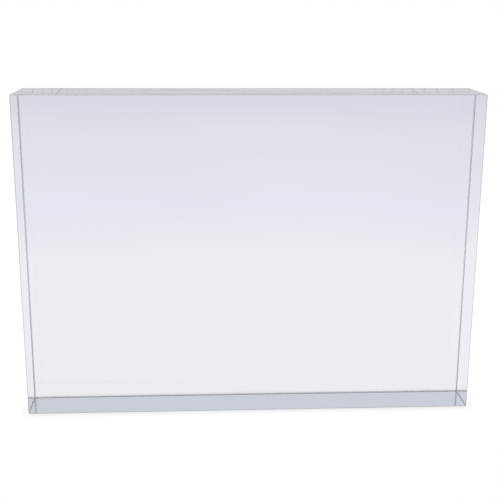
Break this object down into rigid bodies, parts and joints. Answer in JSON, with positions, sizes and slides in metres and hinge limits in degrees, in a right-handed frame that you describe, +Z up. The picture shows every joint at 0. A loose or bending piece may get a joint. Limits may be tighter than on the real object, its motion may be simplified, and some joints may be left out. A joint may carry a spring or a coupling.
{
  "type": "sneeze guard",
  "caption": "Freestanding buffet guard: a thick solid slab of clear polished acrylic with chamfered edges, standing on its long narrow face.",
  "frame": {"origin": "centre of the bottom face, which is the long narrow face that the slab stands on", "axes": "+Z up; +X along the width; -Y is the broad face towards the guest, so Y is the slab's thickness"},
  "size_m": [0.3556, 0.0508, 0.254],
  "materials": {
    "clear_acrylic": "polished"
  },
  "bodies": {
    "root": {"guard_slab": "clear_acrylic"}
  },
  "joints": []
}
